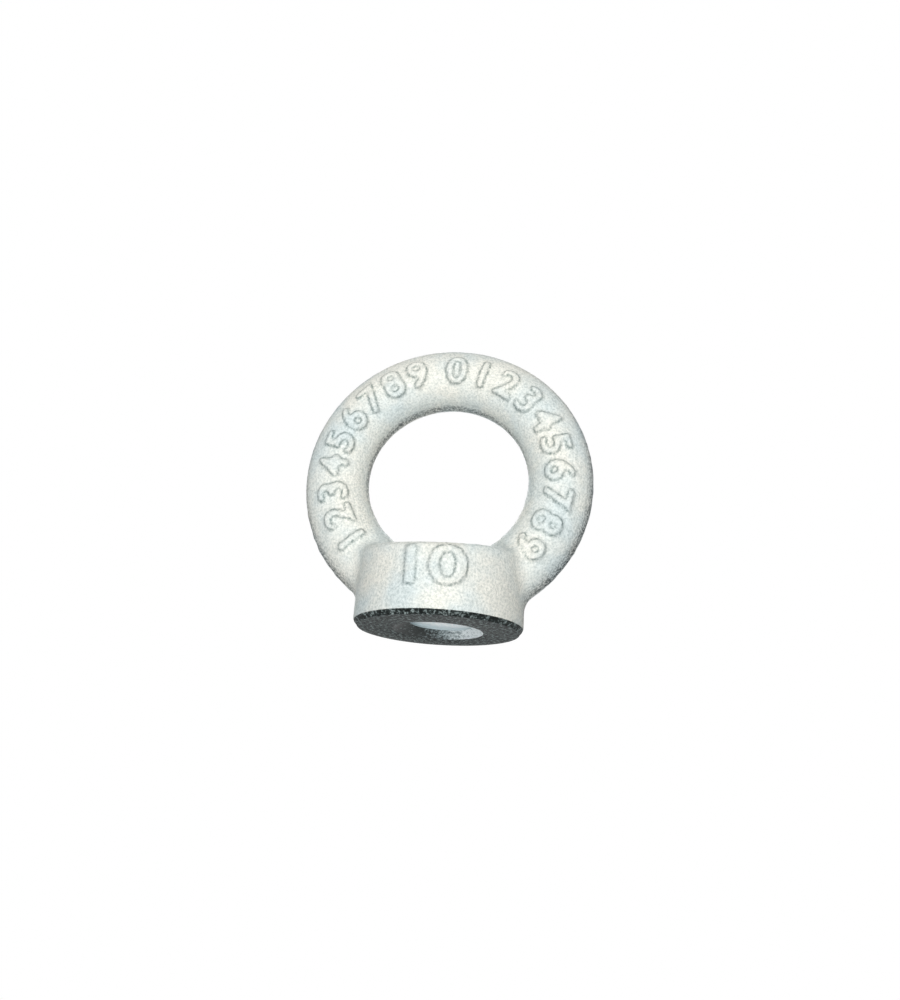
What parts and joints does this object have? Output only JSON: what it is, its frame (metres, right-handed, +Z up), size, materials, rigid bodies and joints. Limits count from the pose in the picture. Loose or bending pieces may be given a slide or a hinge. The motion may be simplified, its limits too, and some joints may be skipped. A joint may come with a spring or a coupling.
{
  "type": "lifting eye nut",
  "caption": "Forged lifting eye nut: an upright round ring on a short collar with a threaded bore through its base.",
  "frame": {"origin": "centre of the machined base face, on the axis of the threaded bore", "axes": "+Z up the bore, from the base through the collar to the ring; the ring stands in the XZ plane, so +Y is the ring's axis"},
  "size_m": [0.045, 0.025, 0.046],
  "materials": {
    "galvanised_steel": "hot-dip galvanised forging, matt pale grey zinc"
  },
  "bodies": {
    "root": {"eye_nut": "galvanised_steel"}
  },
  "joints": []
}
